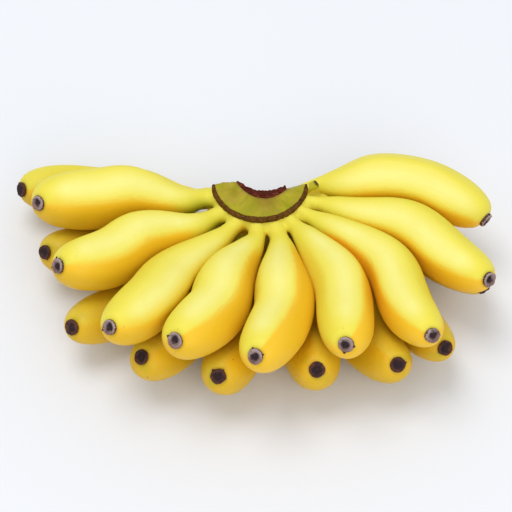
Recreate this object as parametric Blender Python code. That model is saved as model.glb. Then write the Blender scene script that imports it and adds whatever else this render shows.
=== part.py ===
"""A hand of small ripe bananas, lying on its convex side with the fingers curling up.

Eighteen fingers grow in two rows from the outer wall of a half-round crown. The crown is the
cushion of stalk that held them, and its back was scooped out by the knife that cut the hand off.
Sizes are in millimetres, counted from under the middle of the crown: +X to the right, +Y to the
back, where the cut is, and +Z up.
"""

from collections import namedtuple
from math import cos, pi, radians, sin

import bmesh
import bpy
import numpy as np
from mathutils import Matrix, Vector

MM = 0.001
GAP = 0.3  # between solids that grow together
UP = np.array([0.0, 0.0, 1.0])

# Each finger: where it leaves the crown (degrees round it, 270 is the front), the way it heads
# there and how steeply, where its tip is (degrees round the crown, distance, height), the way
# the tip points and how steeply, the greatest width of the fruit, and the share of its length
# where the belly is full.
Finger = namedtuple("Finger", "name root leave lift tip_at reach height arrive rise girth full")

UPPER_ROW = (
    Finger("upper_1", 196, 191, 5, 192, 138, 66, 225, 34, 37, 0.6),
    Finger("upper_2", 222, 217, 5, 213, 142, 68, 214, 38, 35.5, 0.6),
    Finger("upper_3", 243, 235, 7, 235, 150, 71, 228, 40, 34, 0.62),
    Finger("upper_4", 262, 268, 7, 250, 141, 72, 238, 43, 36, 0.56),
    Finger("upper_5", 286, 295, 3, 269, 143, 72, 244, 42, 35, 0.52),
    Finger("upper_6", 308, 314, 9, 290, 143, 71, 260, 40, 33.5, 0.58),
    Finger("upper_7", 323, 327, 12, 308, 160, 68, 292, 34, 31.5, 0.62),
    Finger("upper_8", 337, 353, 8, 329, 158, 60, 311, 25, 32, 0.56),
    Finger("upper_9", 352, 379, 4, 349, 142, 48, 314, -10, 33, 0.42),
)
LOWER_ROW = (
    Finger("lower_1", 176, 165, -27, 177, 152, 33, 212, 26, 33, 0.5),
    Finger("lower_2", 201, 193, -24, 199, 140, 38, 220, 36, 33, 0.5),
    Finger("lower_3", 226, 222, -24, 222, 151, 38, 228, 38, 32, 0.5),
    Finger("lower_4", 248, 249, -28, 241, 143, 42, 240, 45, 33, 0.5),
    Finger("lower_5", 268, 268, -25, 260, 140, 42, 255, 48, 33, 0.5),
    Finger("lower_6", 287, 299, -27, 284, 137, 41, 270, 62, 34, 0.5),
    Finger("lower_7", 305, 318, -24, 302, 152, 40, 288, 53, 33, 0.5),
    Finger("lower_8", 322, 334, -26, 313, 160, 40, 297, 42, 30, 0.5),
    Finger("lower_9", 339, 354, -24, 334, 152, 32, 300, 5, 28, 0.5),
)

# The fingers' middle lines
ROOT_RADIUS = 25.0  # the roots start inside the crown's wall, and are trimmed to it
UPPER_ROOT_Z = 41.5
LOWER_ROOT_Z = 28.0
ROOT_BEND = 0.38  # how far each end's heading carries into the finger, as a share of its chord
TIP_BEND = 0.27
STATIONS = 25

# The fingers' thickness along their length
NECK_RADIUS = 5.4
NECK_END = 0.07  # share of the length where the belly starts to swell
ROOT_END = 0.16  # up to here the neck has the room that its neighbours leave, not its own width
ROOT_MOST = 5.8  # greatest half width of a root
BLUNT_FROM = 0.7  # share of the length where the end starts to close
BLUNT_POWER = 2.4
TIP_RADIUS = 4.4

# The fingers' section: a banana is bluntly five-sided past its neck
FACES = 5
RIDGE_POWER = 9.0  # higher gives sharper ridges
RIDGES_FROM = 0.1
RIDGES_OVER = 0.3
SIDES = 15
RING_SHARES = (0, 0.06, 0.11, 0.16, 0.21, 0.27, 0.34, 0.42, 0.51, 0.6, 0.69, 0.77, 0.84, 0.9, 0.95,
               0.98, 1)

# How the fingers press each other aside
SKIN_GAP = 1.3  # between two skins, for the ridges and for the gap that touching solids keep
HELD_UP_TO = 0.25  # the share of a finger that the crown holds in place
SETTLE_ROUNDS = 160
SETTLE_STEP = 0.6
STIFFNESS = 1 / 32
SMOOTHINGS = 3
UPPER_YIELD = 1
LOWER_YIELD = 2  # of two fingers that touch, the one that yields more moves further
SURFACE = 1.6  # the bellies are round down to 0, and are pressed flat at this height

# Crown
WALL_RADIUS = 30.5
CROWN_PROFILE = (
    (17, 17.5), (24.5, 20), (29, 26), (WALL_RADIUS, 33), (WALL_RADIUS, 42),
    (29.8, 47), (28.5, 50), (24, 52), (13, 53),
)
CROWN_MIDDLE_Z = 35.0
CROWN_SIDES = 48
CROWN_BACK = -1.5

# The knife's scooped cut, and the skin dried on it
SCOOP_RADIUS = 21.0
SCOOP_TOP = (3, 19.0, 53)  # the scoop's axis crosses the crown's top here
SCOOP_SLANT = radians(48)
SCOOP_LENGTH = 160.0
SCOOP_SIDES = 64
NOTCH_CORNER = (16.8, 33.2)  # where a second, flat cut meets the scoop, seen along its axis
NOTCH_TILT = radians(16)
DRIED_THICKNESS = 1.6
DRIED_PROUD = 0.8  # how far that skin stands out of the crown

# The brown scar that the leaf scale left along the crown's upper edge
SCAR_RADIUS = 28.9
SCAR_Z = 49.6
SCAR_THICKNESS = 1.7
SCAR_ENDS = (176, 357)
SCAR_STEPS = 45
SCAR_SIDES = 10

# The green stub left at the scar's right end: share of its length, half width, half height
STUB_START = (26.0, -4.5, 45.6)
STUB_END = (35.6, 0.2, 51.8)
STUB_SECTIONS = ((0, 3.0, 2.6), (0.6, 2.7, 2.2), (1, 2.3, 1.9))
STUB_SIDES = 8

# Dried flower ends: distance beyond the fruit's end, and radius
TIP_PROFILE = ((0.3, 4.3), (0.9, 4.7), (2.0, 4.5), (2.5, 3.7), (1.7, 2.3), (2.9, 1.2))
TIP_SIDES = 12

SHARP = radians(40)  # edges sharper than this stay sharp in the shading

# Colour and roughness
FINISHES = {
    "ripe_peel": ((0.87, 0.62, 0.05), 0.45),
    "green_crown": ((0.42, 0.45, 0.05), 0.55),
    "dried_cut": ((0.09, 0.022, 0.016), 0.85),
    "brown_scar": ((0.15, 0.065, 0.015), 0.8),
    "dried_tip": ((0.045, 0.026, 0.026), 0.8),
}


def direction(azimuth, elevation):
    """A unit vector from two angles in degrees."""
    a, e = radians(azimuth), radians(elevation)
    return np.array([cos(e) * cos(a), cos(e) * sin(a), sin(e)])


def round_the_crown(angle, distance, height):
    return np.array([distance * cos(radians(angle)), distance * sin(radians(angle)), height])


def ease(x):
    """A smooth step from 0 to 1."""
    x = np.clip(x, 0, 1)
    return x * x * (3 - 2 * x)


def unit(vector):
    return vector / np.linalg.norm(vector)


def turns(count):
    """Angles of a full turn, evenly spaced."""
    return 2 * pi * np.arange(count) / count


def ring(centre, across, up, half_width, half_height, angles):
    """Points round an oval; the half sizes may vary with the angle."""
    side = (half_width * np.cos(angles))[:, None] * across
    rise = (half_height * np.sin(angles))[:, None] * up
    return centre + side + rise


def grown_line(finger, root_z):
    """The finger's middle line as it grows: one cubic curve from the root to the tip."""
    root = round_the_crown(finger.root, ROOT_RADIUS, root_z)
    tip = round_the_crown(finger.tip_at, finger.reach, finger.height)
    chord = np.linalg.norm(tip - root)
    after_root = root + ROOT_BEND * chord * direction(finger.leave, finger.lift)
    before_tip = tip - TIP_BEND * chord * direction(finger.arrive, finger.rise)
    t = np.linspace(0, 1, STATIONS)[:, None]
    return ((1 - t) ** 3 * root + 3 * (1 - t) ** 2 * t * after_root
            + 3 * (1 - t) * t * t * before_tip + t ** 3 * tip)


def shares_along(line):
    """Each point's share of the line's length."""
    steps = np.linalg.norm(np.diff(line, axis=0), axis=1)
    run = np.concatenate([[0], np.cumsum(steps)])
    return run / run[-1]


def fruit_radius(share, finger):
    """Half the finger's thickness: a thin neck, a belly past the middle and a blunt end."""
    belly = finger.girth / 2
    swell = ease((share - NECK_END) / (finger.full - NECK_END))
    growing = NECK_RADIUS + (belly - NECK_RADIUS) * swell
    closing = np.clip((share - BLUNT_FROM) / (1 - BLUNT_FROM), 0, 1)
    ending = TIP_RADIUS + (belly - TIP_RADIUS) * np.sqrt(1 - closing ** BLUNT_POWER)
    return np.minimum(growing, ending)


def root_half_width(finger, row):
    """Half of a neck's width where it leaves the crown, so that the row shares the wall."""
    pitch = min(abs(finger.root - other.root) for other in row if other is not finger)
    return min(ROOT_MOST, radians(pitch) / 2 * WALL_RADIUS - GAP)


def half_width(share, finger, room):
    """The root's own width blended into the fruit's."""
    radius = fruit_radius(share, finger)
    return room + (radius - room) * ease(share / ROOT_END)


def pushes_between(line_a, line_b, reach_a, reach_b, share_a):
    """How far each point of two fingers moves so that they no longer overlap."""
    apart = line_a[:, None] - line_b[None]
    distance = np.linalg.norm(apart, axis=2)
    short = reach_a[:, None] + reach_b[None] + SKIN_GAP - distance
    amount = np.clip(short, 0, None)[..., None] * apart / distance[..., None]
    deepest_a, deepest_b = short.argmax(axis=1), short.argmax(axis=0)
    points = np.arange(STATIONS)
    return share_a * amount[points, deepest_a], (share_a - 1) * amount[deepest_b, points]


def smoothed(push):
    """The pushes spread to their neighbours along the finger."""
    for _ in range(SMOOTHINGS):
        push[1:-1] = (push[:-2] + 2 * push[1:-1] + push[2:]) / 4
    return push


def straightening(line):
    """What a finger's stiffness does against a bend."""
    return line[:-4] - 4 * line[1:-3] + 6 * line[2:-2] - 4 * line[3:-1] + line[4:]


def settled(lines, fingers, rooms, yields):
    """The fingers pressed apart by each other and by the surface below, with their roots held."""
    lines = [line.copy() for line in lines]
    free = ease(np.linspace(0, 1, STATIONS) / HELD_UP_TO)[:, None]
    for _ in range(SETTLE_ROUNDS):
        reach = [half_width(shares_along(line), finger, room)
                 for line, finger, room in zip(lines, fingers, rooms)]
        push = [np.zeros_like(line) for line in lines]
        for i in range(len(lines)):
            for j in range(i + 1, len(lines)):
                share = yields[i] / (yields[i] + yields[j])
                push_i, push_j = pushes_between(lines[i], lines[j], reach[i], reach[j], share)
                push[i] += push_i
                push[j] += push_j
        for k, line in enumerate(lines):
            push[k][:, 2] += np.clip(reach[k] - line[:, 2], 0, None)
            line += SETTLE_STEP * free * smoothed(push[k])
            line[2:-2] -= STIFFNESS * straightening(line)
    return lines


def along(line, shares):
    """Points and headings at the given shares of the line's length."""
    at = shares_along(line)
    points = np.stack([np.interp(shares, at, line[:, k]) for k in range(3)], axis=1)
    slopes = np.gradient(line, at, axis=0)
    heads = np.stack([np.interp(shares, at, slopes[:, k]) for k in range(3)], axis=1)
    return points, heads / np.linalg.norm(heads, axis=1)[:, None]


def section(angles):
    """The peel's distance from the middle line, over its mean, round the finger."""
    flats = np.clip(np.cos(angles[:, None] - turns(FACES)[None]), 0, None) ** RIDGE_POWER
    shape = flats.sum(axis=1) ** (-1 / RIDGE_POWER)
    return shape / shape.mean()


def finger_rings(line, finger, room):
    """The peel's rings, in a frame that doesn't twist on its way along the finger."""
    points, heads = along(line, np.array(RING_SHARES))
    angles = turns(SIDES)
    across = np.cross(heads[0], UP)
    rings = []
    for point, head, share in zip(points, heads, RING_SHARES):
        across = unit(across - head * (across @ head))
        up = np.cross(across, head)
        ridged = 1 + (section(angles) - 1) * ease((share - RIDGES_FROM) / RIDGES_OVER)
        width = half_width(share, finger, room) * ridged
        height = fruit_radius(share, finger) * ridged
        rings.append(ring(point, across, up, width, height, angles))
    return rings


def pressed_flat(rings):
    """The belly, flat where it lies on the surface."""
    return [np.concatenate([points[:, :2], np.maximum(points[:, 2:], SURFACE)], axis=1)
            for points in rings]


def new_object(name, mesh, material):
    obj = bpy.data.objects.new(name, mesh)
    bpy.context.scene.collection.objects.link(obj)
    mesh.materials.append(material)
    return obj


def closed_rings(name, rings):
    """A mesh whose sides join the rings in turn, with a flat cap on the first and the last."""
    count = len(rings[0])
    faces = []
    for first in range(0, (len(rings) - 1) * count, count):
        for k in range(count):
            a = first + k
            b = first + (k + 1) % count
            faces.append((a, b, b + count, a + count))
    faces.append(tuple(range(count))[::-1])
    faces.append(tuple(range((len(rings) - 1) * count, len(rings) * count)))
    mesh = bpy.data.meshes.new(name)
    mesh.from_pydata([Vector(point) * MM for points in rings for point in points], [], faces)
    turn_outward(mesh)
    mesh.shade_smooth()
    mesh.set_sharp_from_angle(angle=SHARP)
    return mesh


def turn_outward(mesh):
    shape = bmesh.new()
    shape.from_mesh(mesh)
    bmesh.ops.recalc_face_normals(shape, faces=shape.faces)
    shape.to_mesh(mesh)
    shape.free()


def boolean(target, tool, operation):
    """Applies one Boolean to the target, and removes the tool."""
    cut = target.modifiers.new(operation, "BOOLEAN")
    cut.operation = operation
    cut.solver = "EXACT"
    cut.object = tool
    bpy.context.view_layer.update()
    graph = bpy.context.evaluated_depsgraph_get()
    mesh = bpy.data.meshes.new_from_object(target.evaluated_get(graph))
    target.modifiers.clear()
    target.data = mesh
    bpy.data.objects.remove(tool)
    return target


def crown_body(name, material, grow=0.0):
    """The whole cushion, before the knife: a turned body with its wall moved out by grow."""
    angles = turns(CROWN_SIDES)
    east = np.array([1.0, 0.0, 0.0])
    north = np.array([0.0, 1.0, 0.0])
    rings = []
    for radius, z in CROWN_PROFILE:
        outwards = unit(np.array([radius, z - CROWN_MIDDLE_Z]))
        wide = radius + grow * outwards[0]
        rings.append(ring((z + grow * outwards[1]) * UP, east, north, wide, wide, angles))
    return new_object(name, closed_rings(name, rings), material)


def scoop(grow, material):
    """The knife's path: a slanted round bar, thicker than the scoop by grow."""
    axis = Vector((0, sin(SCOOP_SLANT), -cos(SCOOP_SLANT)))
    turn = axis.to_track_quat("Z", "Y").to_matrix().to_4x4()
    shape = bmesh.new()
    bmesh.ops.create_cone(shape, cap_ends=True, segments=SCOOP_SIDES, depth=SCOOP_LENGTH * MM,
                          radius1=(SCOOP_RADIUS + grow) * MM, radius2=(SCOOP_RADIUS + grow) * MM,
                          matrix=Matrix.Translation(Vector(SCOOP_TOP) * MM) @ turn)
    mesh = bpy.data.meshes.new("scoop")
    shape.to_mesh(mesh)
    shape.free()
    return new_object("scoop", mesh, material)


def notch(material):
    """The second, flat cut, at the scoop's right end and with the same slant."""
    size = 4 * WALL_RADIUS
    along_cut = Matrix.Rotation(SCOOP_SLANT, 4, "X")
    corner = Vector((*NOTCH_CORNER, 0))
    middle = Vector((size / 2, size / 2, 0))
    place = (along_cut @ Matrix.Translation(corner * MM) @ Matrix.Rotation(NOTCH_TILT, 4, "Z")
             @ Matrix.Translation(middle * MM))
    shape = bmesh.new()
    bmesh.ops.create_cube(shape, size=size * MM, matrix=place)
    mesh = bpy.data.meshes.new("notch")
    shape.to_mesh(mesh)
    shape.free()
    return new_object("notch", mesh, material)


def behind(start, material):
    """A block of everything behind y = start, as large as the crown or more."""
    size = 4 * WALL_RADIUS
    centre = Vector((0, start + size / 2, CROWN_MIDDLE_Z)) * MM
    shape = bmesh.new()
    bmesh.ops.create_cube(shape, size=size * MM, matrix=Matrix.Translation(centre))
    mesh = bpy.data.meshes.new("behind")
    shape.to_mesh(mesh)
    shape.free()
    return new_object("behind", mesh, material)


def scar_bar(name, thickness, material):
    """A round bar along the crown's upper edge, from one end of the cut to the other."""
    angles = turns(SCAR_SIDES)
    rings = []
    for azimuth in np.linspace(*SCAR_ENDS, SCAR_STEPS):
        outwards = direction(azimuth, 0)
        centre = round_the_crown(azimuth, SCAR_RADIUS, SCAR_Z)
        rings.append(ring(centre, outwards, UP, thickness, thickness, angles))
    return new_object(name, closed_rings(name, rings), material)


def bract_stub(material, grow=0.0):
    """The green stump at the right end of the scar, where the leaf scale was torn off."""
    start, end = np.array(STUB_START), np.array(STUB_END)
    across = unit(np.cross(end - start, UP))
    up = np.cross(across, unit(end - start))
    rings = [ring(start + share * (end - start), across, up, wide + grow, high + grow,
                  turns(STUB_SIDES))
             for share, wide, high in STUB_SECTIONS]
    return new_object("bract_stub", closed_rings("bract_stub", rings), material)


def build_crown(materials):
    green = materials["green_crown"]
    crown = crown_body("crown", green)
    boolean(crown, bract_stub(green), "UNION")
    boolean(crown, scoop(DRIED_THICKNESS + GAP, green), "DIFFERENCE")
    boolean(crown, notch(green), "DIFFERENCE")
    boolean(crown, behind(CROWN_BACK, green), "DIFFERENCE")
    return boolean(crown, scar_bar("groove", SCAR_THICKNESS + GAP, green), "DIFFERENCE")


def build_cut_face(materials):
    """The dried skin of the scooped cut, standing a little proud of the green crown."""
    dry = materials["dried_cut"]
    skin = crown_body("dried_cut_face", dry, grow=DRIED_PROUD)
    boolean(skin, scoop(DRIED_THICKNESS, dry), "INTERSECT")
    boolean(skin, scoop(0, dry), "DIFFERENCE")
    boolean(skin, notch(dry), "DIFFERENCE")
    return boolean(skin, behind(CROWN_BACK, dry), "DIFFERENCE")


def build_scar(materials):
    brown = materials["brown_scar"]
    scar = scar_bar("bract_scar", SCAR_THICKNESS, brown)
    return boolean(scar, behind(CROWN_BACK - GAP, brown), "DIFFERENCE")


def build_finger(finger, line, room, materials):
    peel = materials["ripe_peel"]
    rings = pressed_flat(finger_rings(line, finger, room))
    fruit = new_object("finger_" + finger.name, closed_rings("peel", rings), peel)
    boolean(fruit, crown_body("wall", peel, grow=GAP), "DIFFERENCE")
    return boolean(fruit, bract_stub(peel, grow=GAP), "DIFFERENCE")


def build_tip(finger, line, materials):
    """The dried end of the flower: a short cup with a knob in it."""
    points, heads = along(line, np.array([1.0]))
    end, head = points[0], heads[0]
    across = unit(np.cross(head, UP))
    up = np.cross(across, head)
    rings = [ring(end + out * head, across, up, radius, radius, turns(TIP_SIDES))
             for out, radius in TIP_PROFILE]
    name = "dried_tip_" + finger.name
    return new_object(name, closed_rings(name, rings), materials["dried_tip"])


def make_materials():
    made = {}
    for name, (colour, roughness) in FINISHES.items():
        material = bpy.data.materials.new(name)
        material.use_nodes = True
        shader = material.node_tree.nodes["Principled BSDF"]
        shader.inputs["Base Color"].default_value = (*colour, 1)
        shader.inputs["Roughness"].default_value = roughness
        shader.inputs["Metallic"].default_value = 0
        made[name] = material
    return made


def stand_on_origin(objects):
    """Moves the hand so that the middle of its box, on the surface, is the origin."""
    corners = np.array([v.co for obj in objects for v in obj.data.vertices])
    low, high = corners.min(axis=0), corners.max(axis=0)
    middle = Vector(((low[0] + high[0]) / 2, (low[1] + high[1]) / 2, low[2]))
    for obj in objects:
        obj.data.transform(Matrix.Translation(-middle))


def main():
    for obj in list(bpy.data.objects):
        bpy.data.objects.remove(obj)
    materials = make_materials()
    fingers = UPPER_ROW + LOWER_ROW
    lines = [grown_line(finger, UPPER_ROOT_Z) for finger in UPPER_ROW]
    lines += [grown_line(finger, LOWER_ROOT_Z) for finger in LOWER_ROW]
    rooms = [root_half_width(finger, row) for row in (UPPER_ROW, LOWER_ROW) for finger in row]
    yields = [UPPER_YIELD] * len(UPPER_ROW) + [LOWER_YIELD] * len(LOWER_ROW)
    lines = settled(lines, fingers, rooms, yields)
    made = [build_crown(materials), build_cut_face(materials), build_scar(materials)]
    for finger, line, room in zip(fingers, lines, rooms):
        made.append(build_finger(finger, line, room, materials))
        made.append(build_tip(finger, line, materials))
    stand_on_origin(made)


main()
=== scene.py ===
"""The looks of a hand of small ripe bananas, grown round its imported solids.

Every finger, dried tip, the crown with its fused necks, the bract scar and the dried cut are
pieces of their own. Their shapes follow the same settled middle lines as the solids, in
millimetres from under the middle of the crown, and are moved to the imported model's frame.
"""

from collections import namedtuple
from itertools import product
from math import cos, pi, radians, sin

import bmesh
import bpy
import numpy as np
from bpy.props import FloatProperty, FloatVectorProperty, PointerProperty
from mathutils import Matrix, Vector


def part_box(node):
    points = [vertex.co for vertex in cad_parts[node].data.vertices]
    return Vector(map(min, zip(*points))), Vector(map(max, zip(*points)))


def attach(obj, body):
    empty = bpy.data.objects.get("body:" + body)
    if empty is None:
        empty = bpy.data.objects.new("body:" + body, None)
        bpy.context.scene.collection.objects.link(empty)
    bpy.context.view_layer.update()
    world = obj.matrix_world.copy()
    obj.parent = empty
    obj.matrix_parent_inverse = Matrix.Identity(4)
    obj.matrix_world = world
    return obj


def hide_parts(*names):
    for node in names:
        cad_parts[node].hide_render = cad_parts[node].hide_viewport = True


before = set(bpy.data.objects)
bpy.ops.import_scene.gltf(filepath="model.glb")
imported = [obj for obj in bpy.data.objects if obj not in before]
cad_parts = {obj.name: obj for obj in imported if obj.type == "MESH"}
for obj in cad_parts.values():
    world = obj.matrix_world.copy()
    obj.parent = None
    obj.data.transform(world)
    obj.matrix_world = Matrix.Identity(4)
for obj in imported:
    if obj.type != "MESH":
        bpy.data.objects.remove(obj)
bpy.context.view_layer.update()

bl_info = {
    "name": "Hand of Bananas",
    "version": (1, 0, 0),
    "blender": (4, 5, 0),
    "location": "3D View > Sidebar > Bananas",
    "description": "Grows a hand of small ripe bananas round its packed solids",
    "category": "Object",
}

MM = 0.001
GAP = 0.3  # between the solids
UP = np.array([0.0, 0.0, 1.0])

# Each finger, as in the solids: where it leaves the crown (degrees round it, 270 is the front),
# the way it heads there and how steeply, where its tip is (degrees round the crown, distance,
# height), the way the tip points and how steeply, the greatest width, and the share of its
# length where the belly is full. Only the looks need the rest: where its sharpest ridge is (degrees
# round its section), and how green its neck is.
Finger = namedtuple("Finger", "name root leave lift tip_at reach height arrive rise girth full "
                              "ridge green")


def row_of(name, shapes):
    return tuple(Finger(f"{name}_{k}", *shape) for k, shape in enumerate(shapes, 1))


UPPER_ROW = row_of("upper", (
    (196, 191, 5, 192, 138, 66, 225, 34, 37, 0.6, 136, 0.9),
    (222, 217, 5, 213, 142, 68, 214, 38, 35.5, 0.6, 130, 0.8),
    (243, 235, 7, 235, 150, 71, 228, 40, 34, 0.62, 151, 0.45),
    (262, 268, 7, 250, 141, 72, 238, 43, 36, 0.56, 126, 0.35),
    (286, 295, 3, 269, 143, 72, 244, 42, 35, 0.52, 114, 0.35),
    (308, 314, 9, 290, 143, 71, 260, 40, 33.5, 0.58, 129, 0.45),
    (323, 327, 12, 308, 160, 68, 292, 34, 31.5, 0.62, 42, 0.55),
    (337, 353, 8, 329, 158, 60, 311, 25, 32, 0.56, 36, 0.5),
    (352, 379, 4, 349, 142, 48, 314, -10, 33, 0.42, 31, 0.5),
))
LOWER_ROW = row_of("lower", (
    (176, 165, -27, 177, 152, 33, 212, 26, 33, 0.5, 136, 0.6),
    (201, 193, -24, 199, 140, 38, 220, 36, 33, 0.5, 130, 0.6),
    (226, 222, -24, 222, 151, 38, 228, 38, 32, 0.5, 140, 0.6),
    (248, 249, -28, 241, 143, 42, 240, 45, 33, 0.5, 120, 0.6),
    (268, 268, -25, 260, 140, 42, 255, 48, 33, 0.5, 100, 0.6),
    (287, 299, -27, 284, 137, 41, 270, 62, 34, 0.5, 90, 0.6),
    (305, 318, -24, 302, 152, 40, 288, 53, 33, 0.5, 60, 0.6),
    (322, 334, -26, 313, 160, 40, 297, 42, 30, 0.5, 50, 0.6),
    (339, 354, -24, 334, 152, 32, 300, 5, 28, 0.5, 40, 0.6),
))

# The fingers' middle lines, thickness and section, as in the solids
ROOT_RADIUS = 25.0
UPPER_ROOT_Z = 41.5
LOWER_ROOT_Z = 28.0
ROOT_BEND = 0.38
TIP_BEND = 0.27
STATIONS = 25
NECK_RADIUS = 5.4
NECK_END = 0.07
ROOT_END = 0.16
ROOT_MOST = 5.8
BLUNT_FROM = 0.7
BLUNT_POWER = 2.4
TIP_RADIUS = 4.4
FACES = 5
RIDGES_FROM = 0.1
RIDGES_OVER = 0.3
SKIN_GAP = 1.3
HELD_UP_TO = 0.25
SETTLE_ROUNDS = 160
SETTLE_STEP = 0.6
STIFFNESS = 1 / 32
SMOOTHINGS = 3
UPPER_YIELD = 1
LOWER_YIELD = 2
SURFACE = 1.6

# The crown, the cut and the scar, as in the solids
WALL_RADIUS = 30.5
CROWN_PROFILE = (
    (17, 17.5), (24.5, 20), (29, 26), (WALL_RADIUS, 33), (WALL_RADIUS, 42),
    (29.8, 47), (28.5, 50), (24, 52), (13, 53),
)
CROWN_BACK = -1.5
SCOOP_RADIUS = 21.0
SCOOP_TOP = np.array([3, 19.0, 53])
SCOOP_SLANT = radians(48)
SCOOP_AXIS = np.array([0, sin(SCOOP_SLANT), -cos(SCOOP_SLANT)])
NOTCH_CORNER = (16.8, 33.2)
NOTCH_TILT = radians(16)
SCAR_RADIUS = 28.9
SCAR_Z = 49.6
# The torn stub is whole here; in the solids its back half goes with the crown's flat back
STUB_START = np.array([27.5, -3.4, 46.2])
STUB_END = np.array([36.2, -1.3, 50.9])
STUB_SECTIONS = ((0, 2.5, 2.4), (0.6, 2.6, 2.6), (1, 2.4, 2.8))
# The solid tips: distance beyond the fruit's end, and radius
TIP_PROFILE = ((0.3, 4.3), (0.9, 4.7), (2.0, 4.5), (2.5, 3.7), (1.7, 2.3), (2.9, 1.2))
TIP_SIDES = 12
MOST_MISFIT = 0.05  # how far the tips' boxes may disagree about the shift, in millimetres


def direction(azimuth, elevation):
    """A unit vector from two angles in degrees."""
    a, e = radians(azimuth), radians(elevation)
    return np.array([cos(e) * cos(a), cos(e) * sin(a), sin(e)])


def round_the_crown(angle, distance, height):
    return np.array([distance * cos(radians(angle)), distance * sin(radians(angle)), height])


def ease(x):
    """A smooth step from 0 to 1."""
    x = np.clip(x, 0, 1)
    return x * x * (3 - 2 * x)


def grows(x, start, over):
    """A smooth step from 0 to 1 that begins at start and is done over that much more."""
    return ease((x - start) / over)


def peak(x, at, reach):
    """A smooth bump that is 1 at its middle and has faded a little beyond its reach."""
    return np.exp(-((x - at) / reach) ** 2)


def unit(vector):
    return vector / np.linalg.norm(vector)


def turns(count):
    """Angles of a full turn, evenly spaced."""
    return 2 * pi * np.arange(count) / count


def ring(centre, across, up, half_width, half_height, angles):
    """Points round an oval; the half sizes may vary with the angle."""
    side = (half_width * np.cos(angles))[:, None] * across
    rise = (half_height * np.sin(angles))[:, None] * up
    return centre + side + rise


def grown_line(finger, root_z):
    """The finger's middle line as it grows: one cubic curve from the root to the tip."""
    root = round_the_crown(finger.root, ROOT_RADIUS, root_z)
    tip = round_the_crown(finger.tip_at, finger.reach, finger.height)
    chord = np.linalg.norm(tip - root)
    after_root = root + ROOT_BEND * chord * direction(finger.leave, finger.lift)
    before_tip = tip - TIP_BEND * chord * direction(finger.arrive, finger.rise)
    t = np.linspace(0, 1, STATIONS)[:, None]
    return ((1 - t) ** 3 * root + 3 * (1 - t) ** 2 * t * after_root
            + 3 * (1 - t) * t * t * before_tip + t ** 3 * tip)


def shares_along(line):
    """Each point's share of the line's length."""
    steps = np.linalg.norm(np.diff(line, axis=0), axis=1)
    run = np.concatenate([[0], np.cumsum(steps)])
    return run / run[-1]


def fruit_radius(share, finger):
    """Half the finger's thickness: a thin neck, a belly past the middle and a blunt end."""
    belly = finger.girth / 2
    swell = grows(share, NECK_END, finger.full - NECK_END)
    growing = NECK_RADIUS + (belly - NECK_RADIUS) * swell
    closing = np.clip((share - BLUNT_FROM) / (1 - BLUNT_FROM), 0, 1)
    ending = TIP_RADIUS + (belly - TIP_RADIUS) * np.sqrt(1 - closing ** BLUNT_POWER)
    return np.minimum(growing, ending)


def root_half_width(finger, row):
    """Half of a neck's width where it leaves the crown, so that the row shares the wall."""
    pitch = min(abs(finger.root - other.root) for other in row if other is not finger)
    return min(ROOT_MOST, radians(pitch) / 2 * WALL_RADIUS - GAP)


def half_width(share, finger, room):
    """The root's own width blended into the fruit's."""
    radius = fruit_radius(share, finger)
    return room + (radius - room) * ease(share / ROOT_END)


def pushes_between(line_a, line_b, reach_a, reach_b, share_a):
    """How far each point of two fingers moves so that they no longer overlap."""
    apart = line_a[:, None] - line_b[None]
    distance = np.linalg.norm(apart, axis=2)
    short = reach_a[:, None] + reach_b[None] + SKIN_GAP - distance
    amount = np.clip(short, 0, None)[..., None] * apart / distance[..., None]
    deepest_a, deepest_b = short.argmax(axis=1), short.argmax(axis=0)
    points = np.arange(STATIONS)
    return share_a * amount[points, deepest_a], (share_a - 1) * amount[deepest_b, points]


def smoothed(push):
    """The pushes spread to their neighbours along the finger."""
    for _ in range(SMOOTHINGS):
        push[1:-1] = (push[:-2] + 2 * push[1:-1] + push[2:]) / 4
    return push


def straightening(line):
    """What a finger's stiffness does against a bend."""
    return line[:-4] - 4 * line[1:-3] + 6 * line[2:-2] - 4 * line[3:-1] + line[4:]


def settled(lines, fingers, rooms, yields):
    """The fingers pressed apart by each other and by the surface below, with their roots held."""
    lines = [line.copy() for line in lines]
    free = ease(np.linspace(0, 1, STATIONS) / HELD_UP_TO)[:, None]
    for _ in range(SETTLE_ROUNDS):
        reach = [half_width(shares_along(line), finger, room)
                 for line, finger, room in zip(lines, fingers, rooms)]
        push = [np.zeros_like(line) for line in lines]
        for i in range(len(lines)):
            for j in range(i + 1, len(lines)):
                share = yields[i] / (yields[i] + yields[j])
                push_i, push_j = pushes_between(lines[i], lines[j], reach[i], reach[j], share)
                push[i] += push_i
                push[j] += push_j
        for k, line in enumerate(lines):
            push[k][:, 2] += np.clip(reach[k] - line[:, 2], 0, None)
            line += SETTLE_STEP * free * smoothed(push[k])
            line[2:-2] -= STIFFNESS * straightening(line)
    return lines


def settled_hand():
    """Every finger with its settled middle line and its root's half width."""
    fingers = UPPER_ROW + LOWER_ROW
    lines = [grown_line(finger, UPPER_ROOT_Z) for finger in UPPER_ROW]
    lines += [grown_line(finger, LOWER_ROOT_Z) for finger in LOWER_ROW]
    rooms = [root_half_width(finger, row) for row in (UPPER_ROW, LOWER_ROW) for finger in row]
    yields = [UPPER_YIELD] * len(UPPER_ROW) + [LOWER_YIELD] * len(LOWER_ROW)
    return list(zip(fingers, settled(lines, fingers, rooms, yields), rooms))


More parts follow.
